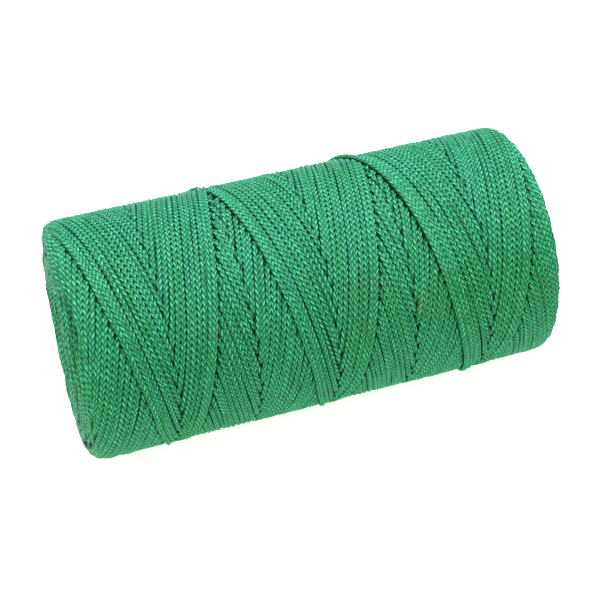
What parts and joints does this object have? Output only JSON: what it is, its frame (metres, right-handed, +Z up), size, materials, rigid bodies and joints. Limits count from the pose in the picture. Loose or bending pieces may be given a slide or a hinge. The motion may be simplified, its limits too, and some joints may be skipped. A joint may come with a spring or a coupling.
{
  "type": "fishing line spool",
  "caption": "Flangeless cross-wound spool of green braided line on a spiral-wound cardboard tube, with a liftable free end.",
  "frame": {"origin": "centre of the tube's bore, midway between its two rims", "axes": "+X along the bore, +Z up with the spool lying on its side, +Y away from the viewed side"},
  "size_m": [0.126, 0.064, 0.0636],
  "materials": {
    "green_line": "satin",
    "tube_liner": "matte",
    "tube_board": "matte",
    "tube_wrap": "matte"
  },
  "bodies": {
    "spool": {"core_liner": "tube_liner", "core_board": "tube_board", "core_wrap": "tube_wrap", "line_start": "green_line", "line_layer_1": "green_line", "line_layer_2": "green_line", "line_layer_3": "green_line", "line_layer_4": "green_line", "line_layer_5": "green_line", "line_layer_6": "green_line"},
    "free_end_1": {"free_end_root": "green_line"},
    "free_end_2": {"free_end_middle": "green_line"},
    "free_end_3": {"free_end_tip": "green_line"}
  },
  "joints": [
    {"name": "free_end_lift", "type": "hinge", "parent": "spool", "child": "free_end_1", "pos_m": [0.01865, 0.02398, 0.01953], "axis": [0.9705, 0, -0.2412], "range_deg": [0, 30]},
    {"name": "free_end_bend_near", "type": "hinge", "parent": "free_end_1", "child": "free_end_2", "pos_m": [0.01511, 0.03082, 0.00527], "axis": [0.9705, 0, -0.2412], "range_deg": [0, 24]},
    {"name": "free_end_bend_far", "type": "hinge", "parent": "free_end_2", "child": "free_end_3", "pos_m": [0.01122, 0.02941, -0.01039], "axis": [0.9705, 0, -0.2412], "range_deg": [0, 24]}
  ],
  "couplings": [
    {"joint": "free_end_bend_near", "follows": "free_end_lift", "ratio": 0.8},
    {"joint": "free_end_bend_far", "follows": "free_end_lift", "ratio": 0.8}
  ]
}
